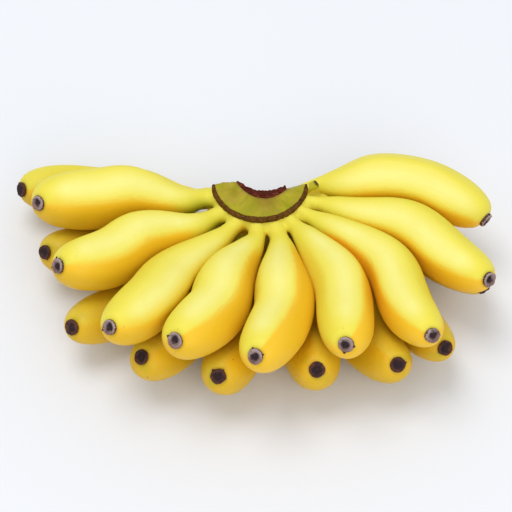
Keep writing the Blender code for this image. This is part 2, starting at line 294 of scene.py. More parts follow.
def smooth_line(line, shares):
    """Points and headings on a smooth curve through the line's stations."""
    at = shares_along(line)
    slopes = np.gradient(line, at, axis=0)
    k = np.clip(np.searchsorted(at, shares, side="right") - 1, 0, len(at) - 2)
    step = (at[k + 1] - at[k])[:, None]
    t = (shares - at[k])[:, None] / step
    points = ((2 * t ** 3 - 3 * t ** 2 + 1) * line[k] + (t ** 3 - 2 * t ** 2 + t) * step * slopes[k]
              + (3 * t ** 2 - 2 * t ** 3) * line[k + 1] + (t ** 3 - t ** 2) * step * slopes[k + 1])
    heads = slopes[k] + t * (slopes[k + 1] - slopes[k])
    return points, heads / np.linalg.norm(heads, axis=1)[:, None]


def frames_along(heads):
    """A pair of directions square to each heading, which doesn't twist on its way."""
    across = np.cross(heads[0], UP)
    pairs = []
    for head in heads:
        across = unit(across - head * (across @ head))
        pairs.append((across, np.cross(across, head)))
    return pairs


def tip_frame(line):
    """The fruit's end, its heading, and the two directions across it, as in the solids."""
    slope = np.gradient(line, shares_along(line), axis=0)[-1]
    head = unit(slope)
    across = unit(np.cross(head, UP))
    return line[-1], head, across, np.cross(across, head)


def shift_of_the_pack():
    """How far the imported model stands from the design's own origin, in millimetres."""
    shifts = []
    for finger, line, _ in HAND:
        end, head, across, up = tip_frame(line)
        rings = [ring(end + out * head, across, up, radius, radius, turns(TIP_SIDES))
                 for out, radius in TIP_PROFILE]
        low = np.array(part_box("dried_tip_" + finger.name)[0]) / MM
        shifts.append(low - np.concatenate(rings).min(axis=0))
    if np.ptp(shifts, axis=0).max() > MOST_MISFIT:
        raise RuntimeError("the fingers' lines aren't those of the packed model")
    return np.mean(shifts, axis=0)


HAND = settled_hand()
SHIFT = shift_of_the_pack()


AXIS_PRIMES = (73856093, 19349663, 83492791)
SEED_PRIME = 2654435761
STIRRINGS = ((15, 2246822519), (13, 3266489917))
LOW_32_BITS = 0xFFFFFFFF


def scattered(cells, seed):
    """A repeatable number from -1 to 1 for each whole-number point."""
    x, y, z = (cells[:, axis] * prime for axis, prime in enumerate(AXIS_PRIMES))
    mixed = (x ^ y ^ z ^ seed * SEED_PRIME) & LOW_32_BITS
    for shift, factor in STIRRINGS:
        mixed = (mixed ^ mixed >> shift) * factor & LOW_32_BITS
    return (mixed >> 8 & 0xFFFF) / 32767.5 - 1


def lumps(points, size, seed):
    """Smooth noise from -1 to 1 with lumps of that size; size may be one for each axis."""
    cells = points / size
    base = np.floor(cells).astype(np.int64)
    part = ease(cells - base)
    total = np.zeros(len(points))
    for corner in product((0, 1), repeat=3):
        weight = np.where(corner, part, 1 - part).prod(axis=1)
        total += weight * scattered(base + corner, seed)
    return total


def layered(points, layers):
    """Smooth noise in layers, each with its weight, the size of its lumps and its seed."""
    return sum(weight * lumps(points, size, seed) for weight, size, seed in layers)


def merged(a, b, fillet):
    """The signed distance to two bodies grown together, with a fillet between them."""
    h = np.clip(0.5 + 0.5 * (b - a) / fillet, 0, 1)
    return b * (1 - h) + a * h - fillet * h * (1 - h)


def cut_by(body, knife, bevel):
    """The signed distance to a body less a knife's space, with the edge rounded."""
    return -merged(-body, knife, bevel)


def to_row(points):
    return (points + SHIFT) * MM


def new_object(name, data):
    """An object of the scene with that mesh, light or camera."""
    made = bpy.data.objects.new(name, data)
    bpy.context.scene.collection.objects.link(made)
    return made


def parts_of(mesh):
    """A mesh's points, in millimetres, and its faces."""
    points = np.empty(len(mesh.vertices) * 3)
    mesh.vertices.foreach_get("co", points)
    return points.reshape(-1, 3) / MM, [tuple(face.vertices) for face in mesh.polygons]


def new_piece(name, points, faces, material, node, values=None):
    """A piece in the row frame, riding with the hand, that stands for its solid."""
    mesh = bpy.data.meshes.new(name)
    mesh.from_pydata(to_row(points).tolist(), [], faces)
    shape = bmesh.new()
    shape.from_mesh(mesh)
    bmesh.ops.recalc_face_normals(shape, faces=shape.faces)
    shape.to_mesh(mesh)
    shape.free()
    mesh.shade_smooth()
    for key, value in (values or {}).items():
        kind, field = ("FLOAT_VECTOR", "vector") if value.ndim == 2 else ("FLOAT", "value")
        attribute = mesh.attributes.new(key, kind, "POINT")
        attribute.data.foreach_set(field, value.astype(np.float32).ravel())
    mesh.materials.append(material)
    piece = new_object(name, mesh)
    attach(piece, "root")
    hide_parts(node)
    return piece


def closed_faces(rings, sides, start=0):
    """The quads between rings that follow each other, and a flat cap at both ends."""
    faces = []
    last = start + (rings - 1) * sides
    for first in range(start, last, sides):
        for k in range(sides):
            a, b = first + k, first + (k + 1) % sides
            faces.append((a, b, b + sides, a + sides))
    return faces + [tuple(range(start, start + sides))[::-1], tuple(range(last, last + sides))]


class Wire:
    """A node's output that can be reckoned with: each sign adds a Math node."""

    def __init__(self, finish, socket):
        self.finish = finish
        self.socket = socket

    def maths(self, operation, first, second):
        return self.finish.node("ShaderNodeMath", {"operation": operation}, {0: first, 1: second})

    def __add__(self, other):
        return self.maths("ADD", self, other)

    __radd__ = __add__

    def __sub__(self, other):
        return self.maths("SUBTRACT", self, other)

    def __rsub__(self, other):
        return self.maths("SUBTRACT", other, self)

    def __mul__(self, other):
        return self.maths("MULTIPLY", self, other)

    __rmul__ = __mul__


class Finish:
    """A material and the ways of adding nodes to it."""

    def __init__(self, name, constants):
        self.material = bpy.data.materials.new(name)
        self.material.use_nodes = True
        self.tree = self.material.node_tree
        self.shader = self.tree.nodes["Principled BSDF"]
        for key, value in constants.items():
            self.shader.inputs[key].default_value = value

    def feed(self, socket, value):
        if isinstance(value, Wire):
            self.tree.links.new(value.socket, socket)
        else:
            socket.default_value = value

    def node(self, kind, settings, inputs, output=0):
        """A node of that type, with its settings made first and then its sockets' values."""
        made = self.tree.nodes.new(kind)
        for key, value in settings.items():
            setattr(made, key, value)
        for key, value in inputs.items():
            self.feed(made.inputs[key], value)
        return Wire(self, made.outputs[output])

    def attribute(self, name, output="Fac"):
        return self.node("ShaderNodeAttribute", {"attribute_name": name}, {}, output)

    def position(self):
        return self.node("ShaderNodeTexCoord", {}, {}, "Object")

    def stretched(self, vector, x, y, z):
        return self.node("ShaderNodeVectorMath", {"operation": "MULTIPLY"},
                         {0: vector, 1: (x, y, z)})

    def noise(self, vector, scale, detail=2.0, roughness=0.5, distortion=0.0):
        return self.node("ShaderNodeTexNoise", {}, {
            "Vector": vector, "Scale": scale, "Detail": detail, "Roughness": roughness,
            "Distortion": distortion,
        })

    def cells(self, vector, scale):
        """The distance to the nearest of scattered points."""
        return self.node("ShaderNodeTexVoronoi", {"feature": "F1"},
                         {"Vector": vector, "Scale": scale, "Randomness": 1.0}, "Distance")

    def between(self, value, low, high, start=0.0, end=1.0):
        """The value eased from start to end as it goes from low to high."""
        return self.node("ShaderNodeMapRange", {"interpolation_type": "SMOOTHSTEP"},
                         {"Value": value, "From Min": low, "From Max": high,
                          "To Min": start, "To Max": end})

    def mixed(self, factor, first, second):
        """Two colours mixed; a plain colour is three numbers."""
        first, second = (colour if isinstance(colour, Wire) else (*colour, 1.0)
                         for colour in (first, second))
        return self.node("ShaderNodeMix", {"data_type": "RGBA"},
                         {0: factor, 6: first, 7: second}, 2)

    def coated(self, colour, *coats):
        """The colour under coats of paint, each with a value and how that is eased to its share."""
        for paint, value, *span in coats:
            colour = self.mixed(self.between(value, *span), colour, paint)
        return colour

    def dress(self, colour, roughness, height, depth):
        """Joins the finished colour, roughness and relief to the shader."""
        bump = self.node("ShaderNodeBump", {}, {
            "Height": height, "Strength": 1.0, "Distance": depth,
        })
        self.feed(self.shader.inputs["Base Color"], colour)
        self.feed(self.shader.inputs["Roughness"], roughness)
        self.feed(self.shader.inputs["Normal"], bump)
        return self.material


def peel_colour(finish, peel, place, ridge, pale):
    """The skin's colour: lemon with a painted highlight, gold and ochre as painted shade, green at
    the neck, faint marks.
    """
    broad = finish.noise(place, 55, 2, 0.5)
    streak = finish.noise(finish.stretched(place, 1, 1, 0.09), 900, 3, 0.6)
    patchy = (broad - 0.5) * 0.3
    # pale mixes in pale lemon as a painted highlight, a broad sheen on the faces turned to the
    # light
    colour = finish.mixed(pale * finish.between(broad, 0.2, 0.7, 0.75, 1.0), peel.lemon, peel.pale)
    # low paints gold over lemon as painted shade on the sides turned from the light; a little gold
    # also follows the streaks
    colour = finish.coated(colour, (peel.gold_for_shade_and_streaks, finish.attribute("low") + patchy, 0.15, 0.85),
                           (peel.gold_for_shade_and_streaks, streak, 0.35, 0.8, 0, 0.1),
                           (peel.green, finish.attribute("green") + patchy, 0.05, 0.9, 0, 0.85))
    colour = finish.mixed(ridge * finish.between(streak, 0.4, 0.7, 0.02, 0.16), colour, peel.mark)
    # The lower row under the upper one and the undersides of left-pointing fingers get ochre:
    # painted shade
    colour = finish.mixed(finish.attribute("ochre") * finish.between(broad, 0.3, 0.7, 0.8, 1.0),
                          colour, peel.ochre)
    return colour, broad, streak


def peel_finish(peel):
    finish = Finish("ripe_peel", {"IOR": 1.45, "Specular IOR Level": 0.35})
    place = finish.attribute("unbent", "Vector")
    colour, broad, streak = peel_colour(finish, peel, place, finish.attribute("ridge"),
                                        finish.attribute("pale"))
    freckle = finish.between(finish.cells(place, 330), 0.1, 0.06)
    patch = finish.between(finish.noise(place, 70, 2), 0.56, 0.7)
    speck = freckle * patch * peel.freckles
    scab = finish.between(finish.noise(place, 520, 3, 0.6), 0.68, 0.74)
    scab = scab * finish.attribute("tipward")
    rub = finish.between(finish.noise(finish.stretched(place, 1, 1, 0.3), 210, 4, 0.65),
                         0.66, 0.78, 0, 0.22) * finish.between(broad, 0.45, 0.6)
    colour = finish.mixed(rub, colour, peel.mark)
    colour = finish.mixed(speck, colour, peel.freckle)
    colour = finish.mixed(scab, colour, peel.freckle)
    fine = finish.noise(place, 1500, 2, 0.6)
    roughness = finish.between(fine * 0.5 + broad * 0.5, 0.3, 0.7, 0.40, 0.54) + rub * 0.5
    height = fine * 0.35 + streak * 0.55 + speck * 0.4 - scab * 0.6
    return finish.dress(colour, roughness, height, 0.00022)


def crown_finish(crown, peel):
    """Green streaked flesh on top, yellow peel on the necks, and the knife's dried back."""
    finish = Finish("green_crown", {"IOR": 1.45, "Specular IOR Level": 0.2})
    place = finish.position()
    fan = finish.attribute("fan", "Vector")
    skirt = finish.attribute("skirt")
    back = finish.attribute("back")
    fibres = finish.noise(fan, 1.0, 3, 0.55)
    fine = finish.noise(finish.stretched(fan, 3.7, 1, 1.3), 1.0, 3, 0.6)
    blotch = finish.noise(place, 90, 3, 0.6)
    patches = finish.noise(place, 45, 3, 0.55, 0.6)
    face = finish.coated(crown.olive, (crown.streak, patches * 0.6 + fibres * 0.4, 0.4, 0.6),
                         (crown.tan, blotch, 0.42, 0.7, 0, 0.75),
                         (crown.shade, fine, 0.5, 0.75, 0, 0.06),
                         (crown.shade, fibres, 0.5, 0.62, 0, 0.25))
    face = finish.mixed(finish.attribute("stain") * finish.between(blotch, 0.3, 0.7, 1.0, 0.5),
                        face, crown.shade)
    face = finish.mixed(finish.attribute("rim") * finish.between(fine, 0.2, 0.6, 0.3, 0.9),
                        face, crown.rim)
    # The necks take the peel's colours with their painted shade, and a faint painted highlight of
    # 0.1
    neck, _, streak = peel_colour(finish, peel, place, 0.0, 0.1)
    colour = finish.mixed(skirt, face, neck)
    colour = finish.mixed(finish.attribute("stub"), colour, crown.streak)
    colour = finish.mixed(finish.attribute("torn"), colour, crown.scab)
    cells = finish.cells(place, 700)
    cut = finish.coated(crown.rim, (crown.dry, cells, 0.15, 0.45),
                        (crown.shade, blotch, 0.4, 0.7, 0, 0.7))
    colour = finish.mixed(back, colour, cut)
    roughness = finish.between(fibres, 0.3, 0.7, 0.48, 0.62) + back * 0.2
    height = (fibres * 0.3 + fine * 0.15 + blotch * 0.4) * (1 - skirt * 0.7)
    height = height + streak * skirt * 0.4 - cells * back
    return finish.dress(colour, roughness, height, 0.00035)


def scar_finish(scar):
    finish = Finish("brown_scar", {"IOR": 1.4, "Specular IOR Level": 0.1})
    place = finish.position()
    cork = finish.noise(place, 420, 4, 0.7)
    crumb = finish.cells(place, 1300)
    flake = finish.noise(place, 1100, 3, 0.6)
    colour = finish.coated(scar.dark, (scar.brown, cork, 0.35, 0.65),
                           (scar.pale, flake, 0.52, 0.7, 0, 0.5))
    height = cork * 0.6 + flake * 0.5 - crumb * 0.25
    return finish.dress(colour, finish.between(cork, 0.3, 0.7, 0.7, 0.95), height, 0.0004)


def cut_finish(cut):
    finish = Finish("dried_cut", {"IOR": 1.4, "Specular IOR Level": 0.06})
    bands = finish.noise(finish.attribute("layers", "Vector"), 1.0, 4, 0.65)
    crumb = finish.noise(finish.position(), 900, 3, 0.65)
    colour = finish.coated(cut.dark, (cut.red, bands, 0.40, 0.54),
                           (cut.pale, bands + (crumb - 0.5) * 0.2, 0.55, 0.68, 0, 0.9))
    height = bands * 0.9 + crumb * 0.3
    return finish.dress(colour, finish.between(crumb, 0.3, 0.7, 0.6, 0.9), height, 0.0007)


def tip_finish(tips):
    finish = Finish("dried_tip", {"IOR": 1.4, "Specular IOR Level": 0.3})
    place = finish.position()
    crumb = finish.noise(place, 900, 4, 0.7)
    cork = finish.noise(place, 2300, 2, 0.6)
    blotch = finish.noise(place, 420, 3, 0.6)
    reach = finish.attribute("ring_share") + (crumb - 0.5) * 0.7
    # The ring is painted lighter on its upper side and darker below: painted light and shade
    lit_ring = finish.mixed(finish.attribute("lit"), tips.shaded_ring, tips.lit_ring)
    colour = finish.coated(tips.heart, (lit_ring, reach + (blotch - 0.5) * 0.8, 0.15, 0.75),
                           (tips.edge, reach, 0.86, 1.0),
                           (tips.edge, blotch, 0.5, 0.7, 0, 0.4),
                           (tips.heart, cork, 0.5, 0.7, 0, 0.4))
    height = crumb * 0.7 + cork * 0.4
    return finish.dress(colour, finish.between(crumb, 0.3, 0.7, 0.62, 0.9), height, 0.0005)


# The fine fingers
PEEL_SIDES = 64
STRAIGHT_RINGS = 58
ROUND_RINGS = 34
FIRST_SHARE = 0.03
UPPER_PLUMP = (0.35, 0.4)  # the skin's rise over the solid, in millimetres, and how much
LOWER_PLUMP = (1.0, 0.5)   # sooner it swells, as a share of the way to an even curve
OWN_NOISE = 400.0  # how far apart two fingers are in the noise
PEEL_SWELLS = ((1, 17, 1), (0.35, 6, 2))
GREEN_AT = 0.13  # share of the length where the neck is greenest
GREEN_REACH = 0.14
LIT_SIDE = np.array([-0.29, 0.24, 0.93])  # the side that faces the light; the gold painted shade grows away from it
NECK_LIT_SIDE = np.array([0, 0.55, 0.83])  # the lit side, where a neck is least green; its extra green away from it is painted shade
BELLY_LIT_SIDE = np.array([0, 0.5, 0.87])  # the lit side, away from the painted shade on the underside
# how strong the lower row's painted shade is
LOWER_ROW_PAINTED_SHADE = 0.95
HIDDEN_FROM = 172  # degrees round the crown where the upper row starts to shade the lower, which is painted as shade
HIDDEN_OVER = 30
TURNING = 26  # least width of the change from lemon to the gold painted shade, in degrees round the finger
GOLD_TO = (150, 60)  # where the gold painted shade has faded out again, and over how much, in such degrees
PALE_STRIPE = (-34, 24)  # where the painted highlight is strongest, in degrees past the ridge, and its reach


def ridge_strength(share):
    """How strong the ridges are: none on the neck, full on the belly, faint at the end."""
    return grows(share, RIDGES_FROM, RIDGES_OVER) * (1 - 0.8 * grows(share, 0.7, 0.28))


def plumper(share, finger):
    """How much thicker the skin is than the solid, mostly where the belly starts to swell."""
    rise, sooner = LOWER_PLUMP if finger in LOWER_ROW else UPPER_PLUMP
    grown = np.clip((share - NECK_END) / (finger.full - NECK_END), 0, 1)
    swell = sooner * (finger.girth / 2 - NECK_RADIUS) * (np.sin(grown * pi / 2) - ease(grown))
    return (rise * grows(share, 0.05, 0.13) * (1 - 0.7 * grows(share, 0.45, 0.35))
            + swell * grows(share, 0.1, 0.1))


def neck_green(most, share, outward):
    """How green the skin is: the neck's own green, more of it on the lower, shaded side as painted
    shade.
    """
    return most * peak(share, GREEN_AT, GREEN_REACH) * (0.7 - 0.7 * outward @ NECK_LIT_SIDE)


def painted_gold_shade(outward):
    """How golden the skin is, as painted shade: most on the side that is turned away from the
    light.
    """
    return 1.6 * (0.5 - 0.5 * outward @ LIT_SIDE) - 0.2


def upper_row_shade_share(finger):
    """How much the upper row shades the fruit, for its painted shade: all of the lower row but its
    left.
    """
    return (finger in LOWER_ROW) * grows(finger.tip_at, HIDDEN_FROM, HIDDEN_OVER)


def section(angles, sharpness):
    """The peel's distance from the middle line, over its mean, round the finger."""
    flats = np.clip(np.cos(angles[:, None] - turns(FACES)[None]), 0, None) ** sharpness
    shape = flats.sum(axis=1) ** (-1 / sharpness)
    return shape / shape.mean()


def finger_shares():
    """Where the rings are: even at first, then closer and closer over the rounded end."""
    straight = np.linspace(FIRST_SHARE, BLUNT_FROM, STRAIGHT_RINGS, endpoint=False)
    rounded = BLUNT_FROM + (1 - BLUNT_FROM) * np.sin(np.linspace(0, pi / 2, ROUND_RINGS))
    return np.concatenate([straight, rounded])


def peel_values(finger, own, share, outward, angle, ridge):
    """What the peel's colours go by at each point; the angle is in degrees round the finger."""
    lower_row = finger in LOWER_ROW
    side = 1 if finger.ridge > 90 else -1
    beyond = (side * (angle - finger.ridge) + 180) % 360 - 180
    softness = TURNING + TURNING * abs(cos(radians(finger.tip_at)))
    # The faces past the sharpest ridge, turned from the light, go gold: painted shade
    past = (ease(0.5 + beyond / softness) * grows(share, 0.1, 0.25)
            * ease((GOLD_TO[0] - beyond) / GOLD_TO[1]))
    # shaded is the lower row's painted shade under the upper row; leftward and facing_down paint
    # shade on undersides
    shaded = upper_row_shade_share(finger) * (LOWER_ROW_PAINTED_SHADE - 0.25 * grows(share, 0.8, 0.2))
    leftward = max(0.0, -cos(radians(finger.tip_at)))
    facing_down = ease((0.2 - outward @ BELLY_LIT_SIDE) / 0.7)
    tip_green = 0.7 * np.exp((share - 1) / 0.05) * lower_row * (0.5 + lumps(own, 6, 3))
    return {
        "unbent": own * MM,
        "green": neck_green(finger.green, share, outward) + np.clip(tip_green, 0, 1),
        "ridge": ridge * ridge_strength(share) * grows(1 - share, 0, 0.04),
        # low: the gold painted shade
        "low": np.maximum(past, painted_gold_shade(outward)),
        # pale: a painted highlight along the face that is turned to the light, upper row only
        "pale": (peak(beyond, *PALE_STRIPE) * grows(share, 0.12, 0.2)
                 * grows(1 - share, 0, 0.12) * (1 - lower_row)),
        "ochre": np.maximum(shaded, 0.75 * leftward * facing_down * grows(share, 0.15, 0.2)),
        "tipward": grows(share, 0.9, 0.08) * (0.35 + 0.65 * lower_row),
    }


def build_finger(number, finger, line, room, peel, material):
    shares = finger_shares()
    points, heads = smooth_line(line, shares)
    angles = turns(PEEL_SIDES)
    from_ridge = angles - radians(finger.ridge)
    ridged = section(from_ridge - pi / FACES, peel.ridge_sharpness)
    ridged = 1 + (ridged - 1) * (0.55 + 0.45 * np.cos(from_ridge))
    length = np.linalg.norm(np.diff(line, axis=0), axis=1).sum()
    placed, unbent, outward = [], [], []
    for point, share, (across, up) in zip(points, shares, frames_along(heads)):
        shape = 1 + (ridged - 1) * ridge_strength(share)
        more = plumper(share, finger)
        radius = fruit_radius(share, finger)
        wide = (half_width(share, finger, room) + more) * shape
        placed.append(ring(point, across, up, wide, (radius + more) * shape, angles))
        outward.append(ring(np.zeros(3), across, up, 1.0, 1.0, angles))
        unbent.append(np.stack([radius * np.cos(angles), radius * np.sin(angles),
                                np.full(PEEL_SIDES, share * length)], axis=1))
    placed, unbent, outward = (np.concatenate(rows) for rows in (placed, unbent, outward))
    own = unbent + OWN_NOISE * (number + 1)
    share = np.repeat(shares, PEEL_SIDES)
    swell = peel.lumpiness / MM * layered(own, PEEL_SWELLS)
    placed = placed + (grows(1 - share, 0, 0.03) * swell)[:, None] * outward
    placed[:, 2] = np.maximum(placed[:, 2], SURFACE)
    ridge = np.tile(((ridged - ridged.min()) / np.ptp(ridged)) ** 6, len(shares))
    values = peel_values(finger, own, share, outward,
                         np.tile(np.degrees(angles), len(shares)), ridge)
    return new_piece("peel_" + finger.name, placed, closed_faces(len(shares), PEEL_SIDES),
                     material, "finger_" + finger.name, values)


# Dried flower ends: distance beyond the fruit's end, radius, and how pale the ring is there
TIP_CUP = ((-0.6, 3.6, 1.1), (0.1, 4.3, 1.1), (0.6, 4.65, 1.05), (1.3, 4.7, 1.0),
           (1.9, 4.55, 0.9), (2.3, 4.2, 0.8), (2.45, 3.8, 0.7), (2.3, 3.3, 0.6),
           (2.0, 2.8, 0.48), (1.7, 2.3, 0.36), (1.5, 1.9, 0.24), (1.6, 1.6, 0.15),
           (1.9, 1.3, 0.1), (2.15, 0.9, 0.1), (2.2, 0.4, 0.1))
TIP_FINE_SIDES = 48
TIP_EDGE = 4.4  # the dark edge lies outside this radius
TIP_NOISE = 30.0  # how far apart two tips are in the noise
TIP_CRUMBS = ((1, 1.3, 5), (0.5, 0.6, 6))
TIP_OUTLINE = ((0.09, 3.4, 7),)
TIP_PATCHES = ((0.3, 2.2, 8),)
TIP_CHANCE = 40  # the first tip's random seed
LOWER_PALENESS = 0.55  # of a lower tip's ring, as a share of an upper one's
FLAKE_ROWS = 5
FLAKE_SIDES = 6
FLAKE_AT = (1.7, 4.1)  # how far out along the tip's heading and from its middle


def flake(centre, head, outward, aside, length, start):
    """One dried point of the flower's rim: a thin blade that narrows and bends outwards."""
    rings = []
    for share in np.arange(FLAKE_ROWS) / (FLAKE_ROWS - 1):
        middle = centre + outward * length * share + head * 0.5 * share * (1.4 - share)
        wide = 1.3 * (1 - share) + 0.12
        thick = 0.34 * (1 - share) + 0.08
        rings.append(ring(middle, aside, head, wide, thick, turns(FLAKE_SIDES)))
    return np.concatenate(rings), closed_faces(FLAKE_ROWS, FLAKE_SIDES, start)


def build_tip(number, finger, line, tips, material):
    end, head, across, up = tip_frame(line)
    chance = np.random.default_rng(TIP_CHANCE + number)
    lower_row = finger in LOWER_ROW
    angles = turns(TIP_FINE_SIDES)
    around = np.stack([np.cos(angles), np.sin(angles)], axis=1)
    heart_at = chance.uniform(0, 2 * pi)
    points, shares, lit = [], [], []
    for out, radius, pale in TIP_CUP:
        inner = radius < TIP_EDGE
        narrow = min(1, radius / 2)
        spot = np.column_stack([around * radius,
                                np.full(TIP_FINE_SIDES, out + TIP_NOISE * number)])
        rough = layered(spot, TIP_CRUMBS)
        wide = radius * (1 + layered(spot, TIP_OUTLINE)) + 0.2 * rough * narrow
        points.append(ring(end + out * head, across, up, wide, wide, angles)
                      + (tips.crumble / MM * rough)[:, None] * head * (out > 0.5))
        off_heart = np.cos(angles - heart_at) * narrow * inner
        paleness = pale + 0.16 * off_heart + layered(spot, TIP_PATCHES) * inner
        shares.append(np.minimum(paleness, 0.85 if inner else 2)
                      * (LOWER_PALENESS if lower_row else 1.0))
        # lit paints the ring's upper side lighter as painted light; the lower row's tips keep only
        # the painted shade
        lit.append((0.7 + 0.3 * np.sin(angles)) * (0.0 if lower_row else 1.0))
    faces = closed_faces(len(TIP_CUP), TIP_FINE_SIDES)
    start = len(TIP_CUP) * TIP_FINE_SIDES
    for _ in range(int(chance.integers(0, 3))):
        angle = chance.uniform(0, 2 * pi)
        outward = cos(angle) * across + sin(angle) * up
        root = end + head * FLAKE_AT[0] + outward * FLAKE_AT[1]
        blade, blade_faces = flake(root, head, outward, np.cross(head, outward),
                                   chance.uniform(0.7, 1.8), start)
        points.append(blade)
        shares.append(np.full(len(blade), 1.2))
        lit.append(np.zeros(len(blade)))
        faces += blade_faces
        start += len(blade)
    values = {"ring_share": np.concatenate(shares), "lit": np.concatenate(lit)}
    return new_piece("tip_" + finger.name, np.concatenate(points), faces, material,
                     "dried_tip_" + finger.name, values)


# The necks where they grow out of the crown
NECK_SHARES = np.array([0.0, 0.04, 0.08, 0.12, 0.16, 0.2, 0.24])
UPPER_SLEEVE = (1.1, -1.5)  # how far it stands over the solid at its root and at its end
LOWER_SLEEVE = (2.4, -0.4)
Station = namedtuple("Station", "point across up wide high share")


def neck_stations(finger, line, room):
    """The neck's sleeve on the crown: over the finger at first, then in under its peel."""
    points, heads = smooth_line(line, NECK_SHARES)
    at_root, at_end = LOWER_SLEEVE if finger in LOWER_ROW else UPPER_SLEEVE
    over = at_root + (at_end - at_root) * NECK_SHARES / NECK_SHARES[-1]
    wide = half_width(NECK_SHARES, finger, room) + over
    high = fruit_radius(NECK_SHARES, finger) + over
    frames = frames_along(heads)
    return [Station(points[k], *frames[k], wide[k], high[k], NECK_SHARES[k])
            for k in range(len(NECK_SHARES))]


NECKS = [neck_stations(*grown) for grown in HAND]


def stations_gap(points, stations):
    """Signed distance to a bar through the stations, and the share of it that is nearest."""
    nearest = np.full(len(points), np.inf)
    share = np.zeros(len(points))
    for a, b in zip(stations, stations[1:]):
        way = b.point - a.point
        t = np.clip((points - a.point) @ way / (way @ way), 0, 1)
        off = points - a.point - t[:, None] * way
        wide = a.wide + t * (b.wide - a.wide)
        high = a.high + t * (b.high - a.high)
        size = np.sqrt((off @ a.across / wide) ** 2 + (off @ a.up / high) ** 2
                       + (off @ unit(way) / np.minimum(wide, high)) ** 2)
        gap = (size - 1) * np.minimum(wide, high)
        closer = gap < nearest
        nearest = np.where(closer, gap, nearest)
        share = np.where(closer, a.share + t * (b.share - a.share), share)
    return nearest, share


STUB_WAY = unit(STUB_END - STUB_START)
STUB_ACROSS = unit(np.cross(STUB_WAY, UP))
STUB = [Station(STUB_START + share * (STUB_END - STUB_START), STUB_ACROSS,
                np.cross(STUB_ACROSS, STUB_WAY), wide, high, share)
        for share, wide, high in STUB_SECTIONS]
# A web of skin between the necks of upper fingers 8 and 9
WEB = [Station(np.array(point), np.array([0.0, 1.0, 0.0]), UP, 1.5, 1.5, share)
       for share, point in enumerate([(30, -4.4, 40.4), (44, -5.2, 40.6)])]
GROWN_BARS = [*NECKS, WEB]
CROWN_ROUNDING = 1.4
SKIN_OVER_CUT = 0.8  # how much wider the knife's scoop is here, so that the cut's skin shows
KNIFE_BEVEL = 1.2
SLOPE_STEP = 0.05
LEAST_STEEP = 0.25  # keeps points from being thrown far where the distance hardly changes


def stub_gap(points):
    """Signed distance to the torn stump, whose end is blunt."""
    blunt = (points - STUB_END) @ STUB_WAY
    return -merged(-stations_gap(points, STUB)[0], -blunt, 1.5)


def cushion_gap(points):
    """Signed distance to the turned body of the crown, with its corners rounded."""
    flat = np.stack([np.hypot(points[:, 0], points[:, 1]), points[:, 2]], axis=1)
    radii, heights = np.array(CROWN_PROFILE).T
    radii = radii - CROWN_ROUNDING
    low, high = heights[0] + CROWN_ROUNDING, heights[-1] - CROWN_ROUNDING
    heights = np.clip(heights, low, high)
    corners = np.stack([np.append(np.insert(radii, 0, 0), 0),
                        np.append(np.insert(heights, 0, low), high)], axis=1)
    nearest = np.full(len(points), np.inf)
    for a, b in zip(corners, corners[1:]):
        way = b - a
        t = np.clip((flat - a) @ way / max(way @ way, 1e-9), 0, 1)
        nearest = np.minimum(nearest, np.linalg.norm(flat - a - t[:, None] * way, axis=1))
    inside = ((flat[:, 0] < np.interp(flat[:, 1], heights, radii))
              & (flat[:, 1] > low) & (flat[:, 1] < high))
    return np.where(inside, -nearest, nearest) - CROWN_ROUNDING


def scoop_gap(points):
    """Signed distance to the round path of the knife."""
    off = points - SCOOP_TOP
    off = off - (off @ SCOOP_AXIS)[:, None] * SCOOP_AXIS
    return np.linalg.norm(off, axis=1) - SCOOP_RADIUS


def notch_gap(points):
    """Signed distance to the space of the second, flat cut."""
    slanted = points @ np.array([0, cos(SCOOP_SLANT), sin(SCOOP_SLANT)]) - NOTCH_CORNER[1]
    right = points[:, 0] - NOTCH_CORNER[0]
    inwards = -(right * cos(NOTCH_TILT) + slanted * sin(NOTCH_TILT))
    below = right * sin(NOTCH_TILT) - slanted * cos(NOTCH_TILT)
    return np.maximum(inwards, below)


def crown_gap(points, fillet):
    """Signed distance to the crown's skin: cushion, necks and stub, less the knife's cuts."""
    body = cut_by(cushion_gap(points), CROWN_BACK - points[:, 1], KNIFE_BEVEL)
    for stations in GROWN_BARS:
        body = merged(body, stations_gap(points, stations)[0], fillet)
    knife = merged(scoop_gap(points) - SKIN_OVER_CUT, notch_gap(points), KNIFE_BEVEL)
    return merged(cut_by(body, knife, 0.8), stub_gap(points), 1.0)


def slope_of(gap, points):
    return np.stack([(gap(points + way) - gap(points - way)) / (2 * SLOPE_STEP)
                     for way in np.eye(3) * SLOPE_STEP], axis=1)


def drawn_to(gap, points, rounds):
    """The points moved on to the surface where that signed distance is nought."""
    for _ in range(rounds):
        slope = slope_of(gap, points)
        steep = np.maximum((slope ** 2).sum(axis=1), LEAST_STEEP)
        points = points - (gap(points) / steep)[:, None] * slope
    return points


def solid_parts(node):
    """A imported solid's points, in the design's millimetres, and its faces."""
    points, faces = parts_of(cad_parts[node].data)
    return points - SHIFT, faces


def bar_parts(stations, sides=16):
    rings = [ring(s.point, s.across, s.up, s.wide, s.high, turns(sides)) for s in stations]
    return np.concatenate(rings), closed_faces(len(rings), sides)


